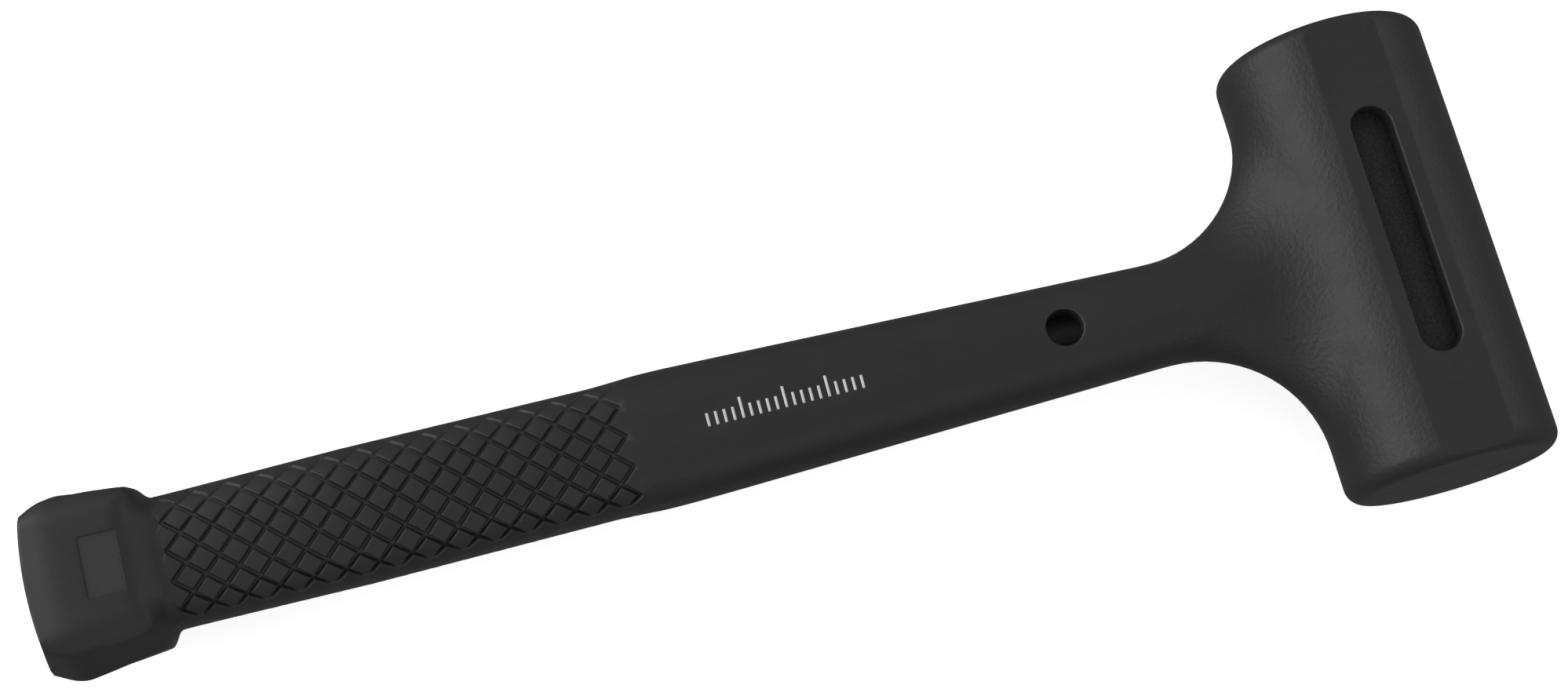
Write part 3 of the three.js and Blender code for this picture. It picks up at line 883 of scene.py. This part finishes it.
badge_floor = badge_along * badge_across * below_top
badge_grain = satin.noise(0.6, detail=4, roughness=0.7)
relief = peel * (0.15 + 0.85 * near_head) + ripples * 0.3 - scratches * 0.05 + parting * 0.6
relief = relief + badge_floor * badge_grain * 0.5
tint = clouds * 0.6 + rubs * 0.4
black_skin = satin.mix(tint.between(0.3, 0.75), (0.0205, 0.0205, 0.021), (0.0262, 0.0262, 0.0268))
handled = 0.05 * clouds + 0.06 * rubs.between(0.4, 0.7) - 0.04 * scratches
polyurethane_material = satin.surface(
    Base_Color=satin.mix(badge_floor, black_skin, (0.034, 0.034, 0.035)),
    Roughness=0.43 + handled + 0.08 * badge_floor,
    Normal=satin.bump(relief, 0.17),
    IOR=1.5,
)
jacket.data.materials.clear()
jacket.data.materials.append(polyurethane_material)
print("jacket nodes:", len(satin.tree.nodes))

# %% [markdown]
# ## Steels
#
# Inside are four steels. The canister was blackened before the pour and shows in the slots as a
# dark, sandy grain. The rod and the caps are bare and drawn. The rod is painted black from next to
# the canister out past the neck's pin holes. Near the canister that black is the weld's heat scale.
# Farther out it is painted shade on the rod seen at the floor of those deep holes. The welds keep
# their heat tint, and the shot is bright and a little tarnished.

# %% The steels' finishes
black = Finish("blackened steel")
grit = black.noise(0.45, detail=4, roughness=0.7)
worn = black.noise(3.5, detail=3, roughness=0.6)
blackened_steel = black.surface(
    Base_Color=black.mix(grit.between(0.35, 0.7), (0.012, 0.012, 0.0125), (0.05, 0.05, 0.05)),
    Metallic=0.25,
    Roughness=0.5 + 0.2 * worn,
    Normal=black.bump(grit * 1.0 + worn * 0.5, 0.12),
)

bare = Finish("bare steel")
drawn = bare.noise(0.6, detail=3, place=bare.stretched(40, 1, 1))
stain = bare.noise(7, detail=4, roughness=0.65)
along_rod = bare.axis("X") - AXIS_X / MM
# Black on the rod from past the weld out beyond the neck's pin holes: heat scale near the weld, and
# painted shade on the rod seen at the floor of those holes.
heat_scale_and_hole_shade = (along_rod + 20 * stain).between(-125, -95) * along_rod.between(-19, -23)
clean_steel = bare.mix(stain.between(0.35, 0.75), (0.42, 0.42, 0.43), (0.28, 0.265, 0.25))
bare_steel = bare.surface(
    Base_Color=bare.mix(heat_scale_and_hole_shade, clean_steel, (0.03, 0.03, 0.031)),
    Metallic=1 - 0.9 * heat_scale_and_hole_shade,
    Roughness=0.28 + 0.16 * drawn + 0.1 * stain + 0.25 * heat_scale_and_hole_shade,
    Normal=bare.bump(drawn, 0.03),
)

weld = Finish("weld steel")
heat = weld.noise(4, detail=3)
spatter = weld.noise(0.8, detail=3, roughness=0.7)
heat_tint = weld.mix(heat.between(0.35, 0.65), (0.16, 0.13, 0.1), (0.13, 0.15, 0.2))
weld_steel = weld.surface(
    Base_Color=weld.mix(spatter.between(0.4, 0.75), heat_tint, (0.3, 0.3, 0.31)),
    Metallic=0.9,
    Roughness=0.42 + 0.2 * spatter,
    Normal=weld.bump(spatter + heat * 0.8, 0.1),
)

bright = Finish("shot steel")
tarnish = bright.noise(1.6, detail=3, roughness=0.6)
shot_steel = bright.surface(
    Base_Color=bright.mix(tarnish.between(0.4, 0.75), (0.5, 0.5, 0.51), (0.24, 0.23, 0.22)),
    Metallic=1.0,
    Roughness=0.22 + 0.22 * tarnish,
    Normal=bright.bump(tarnish, 0.03),
)

for name, material in {
    "canister_tube": blackened_steel,
    "front_end_cap": bare_steel,
    "rear_end_cap": bare_steel,
    "handle_core_rod": bare_steel,
    "front_cap_weld": weld_steel,
    "rear_cap_weld": weld_steel,
    "rod_weld_bead": weld_steel,
}.items():
    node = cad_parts[name]
    node.data.materials.clear()
    node.data.materials.append(material)

# %% [markdown]
# ## What repeats
#
# Geometry Nodes make the pieces that repeat a small shape: the shot in the canister and the ticks
# printed on the handle. Each tree below has named inputs for its sizes, and a helper turns its
# result into a plain mesh when it is done.

# %% A helper for trees of Geometry Nodes
class Tree(Nodes):
    """A tree of Geometry Nodes that is built, run once and turned into a mesh."""

    def __init__(self, name, **inputs):
        self.tree = bpy.data.node_groups.new(name, "GeometryNodeTree")
        self.identifiers = {}
        for label, kind in inputs.items():
            socket = self.tree.interface.new_socket(label, in_out="INPUT", socket_type="NodeSocket" + kind)
            self.identifiers[label] = socket.identifier
        self.tree.interface.new_socket("Geometry", in_out="OUTPUT", socket_type="NodeSocketGeometry")
        self.source = self.tree.nodes.new("NodeGroupInput")
        self.sink = self.tree.nodes.new("NodeGroupOutput")

    def given(self, label):
        """One of the tree's named inputs."""
        return Value(self, self.source.outputs[label])

    def point(self, x, y, z):
        return self.node("ShaderNodeCombineXYZ", {0: x, 1: y, 2: z})

    def part_of(self, place, axis):
        return self.node("ShaderNodeSeparateXYZ", {0: place}, output=axis)

    def moved(self, place, shift):
        return self.node("ShaderNodeVectorMath", {0: place, 1: shift}, {"operation": "ADD"})

    def random(self, low, high, seed=0):
        sockets = {0: low, 1: high, "Seed": seed}
        return self.node("FunctionNodeRandomValue", sockets, {"data_type": "FLOAT_VECTOR"})

    def made(self, name, geometry, **values):
        """Realises the geometry, gives it its material and returns it as a plain mesh object."""
        real = self.node("GeometryNodeRealizeInstances", {0: geometry})
        smooth = self.node("GeometryNodeSetShadeSmooth", {0: real})
        painted = self.node("GeometryNodeSetMaterial", {0: smooth, "Material": self.given("Material")})
        self.tree.links.new(painted.socket, self.sink.inputs[0])
        made = bpy.data.objects.new(name, bpy.data.meshes.new(name))
        bpy.context.scene.collection.objects.link(made)
        modifier = made.modifiers.new(name, "NODES")
        modifier.node_group = self.tree
        for label, value in values.items():
            modifier[self.identifiers[label]] = value
        bpy.context.view_layer.update()
        evaluated = made.evaluated_get(bpy.context.evaluated_depsgraph_get())
        mesh = bpy.data.meshes.new_from_object(evaluated)
        made.modifiers.clear()
        made.data = mesh
        mesh.name = name
        return made


# %% [markdown]
# ## The shot
#
# A few hundred steel balls lie in one end of the canister, up to a little above its middle.
# Dropping them in a simulation would take long and nobody sees how each one lies, so they are
# stacked as shot settles by itself: in staggered layers, each ball a little out of line. Balls
# outside the bed's own outline are taken away.

# %% Loose steel shot
BALL_DIAMETER = 4.5
CHAMBER_RADIUS = 17.0
BED_TOP = 5.0
CLEARANCE = 0.7  # mm between the balls and the chamber's wall
BALL_FACES = 80  # of an icosphere with two subdivisions
bed_low, bed_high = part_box("steel_shot_charge")
ball = BALL_DIAMETER * MM
row_step, layer_step = 0.97 * ball, 0.84 * ball
across_count = int((bed_high.x - bed_low.x) / ball) + 2
along_count = int((bed_high.y - bed_low.y - ball) / row_step) + 1
layer_count = int((bed_high.z - bed_low.z) / layer_step) + 2

tree = Tree("loose shot", Ball="Float", Seed="Int", Radius="Float", Top="Float", Material="Material")
index = tree.node("GeometryNodeInputIndex")
row_number = (index / across_count).floor() % along_count
layer_number = (index / (across_count * along_count)).floor()
place_in_row = index % across_count + (layer_number % 2) * 0.5
ball_x = place_in_row * (ball * 0.99) + (AXIS_X - across_count * ball / 2)
ball_y = row_number * row_step + (bed_low.y + ball / 2 + 0.0001)
ball_z = layer_number * layer_step + (bed_low.z + ball / 2 + 0.0002)
out_of_line = (0.06 * ball, 0.0, 0.03 * ball)
jitter = tree.random([-reach for reach in out_of_line], out_of_line, tree.given("Seed"))
ball_place = tree.moved(tree.point(ball_x, ball_y, ball_z), jitter)
ball_count = across_count * along_count * layer_count
balls = tree.node("GeometryNodePoints", {"Count": ball_count, "Position": ball_place})
now_at = tree.node("GeometryNodeInputPosition")
off_x = tree.part_of(now_at, "X") - AXIS_X
off_z = tree.part_of(now_at, "Z") - MIDDLE_Z
too_far = (off_x * off_x + off_z * off_z).root().above(tree.given("Radius"))
too_high = off_z.above(tree.given("Top"))
outside = {0: balls, "Selection": too_far.larger(too_high)}
kept = tree.node("GeometryNodeDeleteGeometry", outside, {"domain": "POINT"})
ball_shape = {"Radius": tree.given("Ball") * 0.5, "Subdivisions": 2}
one_ball = tree.node("GeometryNodeMeshIcoSphere", ball_shape)
spin = tree.random((0.0, 0.0, 0.0), (6.28, 6.28, 6.28))
filled = {"Points": kept, "Instance": one_ball, "Rotation": spin}
shot = tree.made(
    "loose_steel_shot",
    tree.node("GeometryNodeInstanceOnPoints", filled),
    Ball=ball,
    Seed=7,
    Radius=(CHAMBER_RADIUS - CLEARANCE) * MM - ball / 2,
    Top=BED_TOP * MM - ball / 2,
    Material=shot_steel,
)
print("steel balls:", len(shot.data.polygons) // BALL_FACES)

# %% [markdown]
# ## The printed ticks
#
# The handle's broad side carries a small white print. Here it is a plain row of ticks, every fifth
# one long. Ink has almost no thickness and follows the surface, so each corner of each tick is
# dropped straight down onto the jacket and left a few hundredths of a millimetre above it.

# %% A row of ticks in white ink
TICK_COUNT, TICK_PITCH, TICK_WIDTH = 19, 2.0, 0.62
TICK_LONG, TICK_SHORT = 5.0, 3.1
TICK_MIDDLE = 145.3
INK_THICKNESS = 0.04

ink = Finish("white ink")
speckle = ink.noise(0.35, detail=3, roughness=0.6)
white_ink = ink.surface(
    Base_Color=ink.mix(speckle.between(0.3, 0.55), (0.74, 0.74, 0.74), (0.86, 0.86, 0.86)),
    Roughness=0.45 + 0.1 * speckle,
    Normal=ink.bump(speckle, 0.01),
)

tree = Tree(
    "printed ticks", Count="Int", Pitch="Float", Width="Float", Jacket="Object", Material="Material"
)
index = tree.node("GeometryNodeInputIndex")
from_middle = (index - (TICK_COUNT - 1) / 2) * tree.given("Pitch")
tick_x = (AXIS_X - TICK_MIDDLE * MM) - from_middle
fifth = ((index + 1) % 5).near(0, 0.1)
tick_length = fifth * ((TICK_LONG - TICK_SHORT) * MM) + TICK_SHORT * MM
tick_y = tick_length * 0.5 + -TICK_LONG / 2 * MM
tick_place = tree.point(tick_x, tick_y, MIDDLE_Z)
row = {"Count": tree.given("Count"), "Position": tick_place}
tick_points = tree.node("GeometryNodePoints", row)
box_lines = {"Size": (1.0, 1.0, 1.0), "Vertices X": 3, "Vertices Y": 7, "Vertices Z": 2}
one_tick = tree.node("GeometryNodeMeshCube", box_lines)
tick_scale = tree.point(tree.given("Width"), tick_length, INK_THICKNESS * 2 * MM)
boxes = {"Points": tick_points, "Instance": one_tick, "Scale": tick_scale}
tick_boxes = tree.node("GeometryNodeInstanceOnPoints", boxes)
real_boxes = tree.node("GeometryNodeRealizeInstances", {0: tick_boxes})
corner_at = tree.node("GeometryNodeInputPosition")
corner_rise = tree.part_of(corner_at, "Z") - MIDDLE_Z
jacket_there = {"Object": tree.given("Jacket")}
drop = {
    "Target Geometry": tree.node("GeometryNodeObjectInfo", jacket_there, output="Geometry"),
    "Source Position": tree.moved(corner_at, (0.0, 0.0, 0.03)),
    "Ray Direction": (0.0, 0.0, -1.0),
    "Ray Length": 0.1,
}
landed = tree.node("GeometryNodeRaycast", drop, output="Hit Position")
lifted = tree.moved(landed, tree.point(0.0, 0.0, corner_rise))
ticks = tree.made(
    "printed_ticks",
    tree.node("GeometryNodeSetPosition", {"Geometry": real_boxes, "Position": lifted}),
    Count=TICK_COUNT,
    Pitch=TICK_PITCH * MM,
    Width=TICK_WIDTH * MM,
    Jacket=jacket,
    Material=white_ink,
)
print("ticks reach z =", round(max(v.co.z for v in ticks.data.vertices) / MM, 2), "mm")

# %% [markdown]
# ## What rides on what
#
# Everything but the shot is one rigid tool, so it rides on the body named mallet. The shot rides
# on its own body, which slides along the canister.

# %% Bodies, and the CAD nodes that two pieces stand for
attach(jacket, "mallet")
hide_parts("polyurethane_jacket")
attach(ticks, "mallet")
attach(shot, "shot")
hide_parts("steel_shot_charge")

# %% [markdown]
# ## Floor, light and camera
#
# A pale floor and a soft grey room keep the eye on the tool. Dark plastic shows its shape by what
# it reflects: a broad light low on the handle's side draws the bright band along the head, and
# three weaker ones pick out its far edge and the sides.

# %% The floor and the room
floor_finish = Finish("pale floor")
floor_grain = floor_finish.noise(40, detail=2)
floor_material = floor_finish.surface(
    Base_Color=floor_finish.mix(floor_grain, (0.88, 0.88, 0.88), (0.9, 0.9, 0.9)),
    Roughness=0.9,
    Emission_Color=(1.0, 1.0, 1.0, 1.0),
    Emission_Strength=0.75,
)
FLOOR_HALF = 3.0
ROOM_ABOVE, ROOM_BELOW = 0.36, 0.16
floor_mesh = bpy.data.meshes.new("floor")
corners = [(x * FLOOR_HALF, y * FLOOR_HALF, 0) for x, y in ((-1, -1), (1, -1), (1, 1), (-1, 1))]
floor_mesh.from_pydata(corners, [], [(0, 1, 2, 3)])
floor_mesh.materials.append(floor_material)
floor = bpy.data.objects.new("floor", floor_mesh)
bpy.context.scene.collection.objects.link(floor)
floor.visible_glossy = False  # satin plastic would mirror so white a floor along its sides
floor.visible_diffuse = False  # and its light would lift the dark sides from below

# The room is one grey above the horizon and a darker one below it.
room = bpy.data.worlds.new("soft grey room")
bpy.context.scene.world = room
room.use_nodes = True
sky = room.node_tree
sky_direction = sky.nodes.new("ShaderNodeTexCoord")
sky_height = sky.nodes.new("ShaderNodeSeparateXYZ")
sky_strength = sky.nodes.new("ShaderNodeMapRange")
for name, value in {"From Min": -0.1, "From Max": 0.1, "To Min": ROOM_BELOW, "To Max": ROOM_ABOVE}.items():
    sky_strength.inputs[name].default_value = value
sky.links.new(sky_direction.outputs["Generated"], sky_height.inputs["Vector"])
sky.links.new(sky_height.outputs["Z"], sky_strength.inputs["Value"])
sky.nodes["Background"].inputs["Color"].default_value = (1, 1, 1, 1)
sky.links.new(sky_strength.outputs["Result"], sky.nodes["Background"].inputs["Strength"])


LIGHT_DISTANCE = 1.7
LIT_PLACE = Vector((0.03, 0.0, 0.02))


def soft_light(name, azimuth, elevation, width, height, watts):
    """A soft light that faces the mallet. Azimuth 0 is beyond the head, 180 the handle's end."""
    lamp = bpy.data.lights.new(name, "AREA")
    lamp.shape = "RECTANGLE"
    lamp.size, lamp.size_y = width, height
    lamp.energy = watts
    a, e = math.radians(azimuth), math.radians(elevation)
    outward = Vector((math.cos(e) * math.cos(a), math.cos(e) * math.sin(a), math.sin(e)))
    made = bpy.data.objects.new(name, lamp)
    made.location = LIT_PLACE + outward * LIGHT_DISTANCE
    made.rotation_mode = "QUATERNION"
    made.rotation_quaternion = (-outward).to_track_quat("-Z", "Y")
    bpy.context.scene.collection.objects.link(made)


soft_light("handle side light", 157, 24, 2.2, 1.5, 19.5)
soft_light("far side light", 15, 32, 1.6, 0.9, 3)
soft_light("low near light", 315, 14, 0.9, 0.6, 0.8)
soft_light("near side light", 270, 38, 0.9, 0.7, 1.0)

# %% [markdown]
# The camera stands some 63 cm from the mallet's middle, about 15 degrees off the upright, and
# looks down with a long lens, so that the far end hardly shrinks.

# %% The camera
LENS = 62.75
CAMERA_HEIGHT = 627.4
CAMERA_SHIFT = (-2.314, -14.63)  # sideways and up in its own frame, mm
TURNS = (("X", 0.2533), ("Y", -0.08874), ("Z", -0.24357))  # radians

facing = Matrix.Identity(3)
for axis, angle in TURNS:
    facing = facing @ Matrix.Rotation(angle, 3, axis)
middle = Vector((0.0, 0.0, MIDDLE_Z))
stand = middle + facing @ Vector((-CAMERA_SHIFT[0], -CAMERA_SHIFT[1], CAMERA_HEIGHT)) * MM
lens = bpy.data.cameras.new("camera")
lens.lens = LENS
lens.sensor_fit = "HORIZONTAL"
lens.clip_start, lens.clip_end = 0.01, 20
camera = bpy.data.objects.new("camera", lens)
camera.matrix_world = Matrix.Translation(stand) @ facing.to_4x4()
bpy.context.scene.collection.objects.link(camera)
bpy.context.scene.camera = camera
bpy.context.scene.view_settings.view_transform = "Standard"
print("camera at", [round(1000 * c) for c in stand], "mm")

# %% The end
bpy.context.view_layer.update()
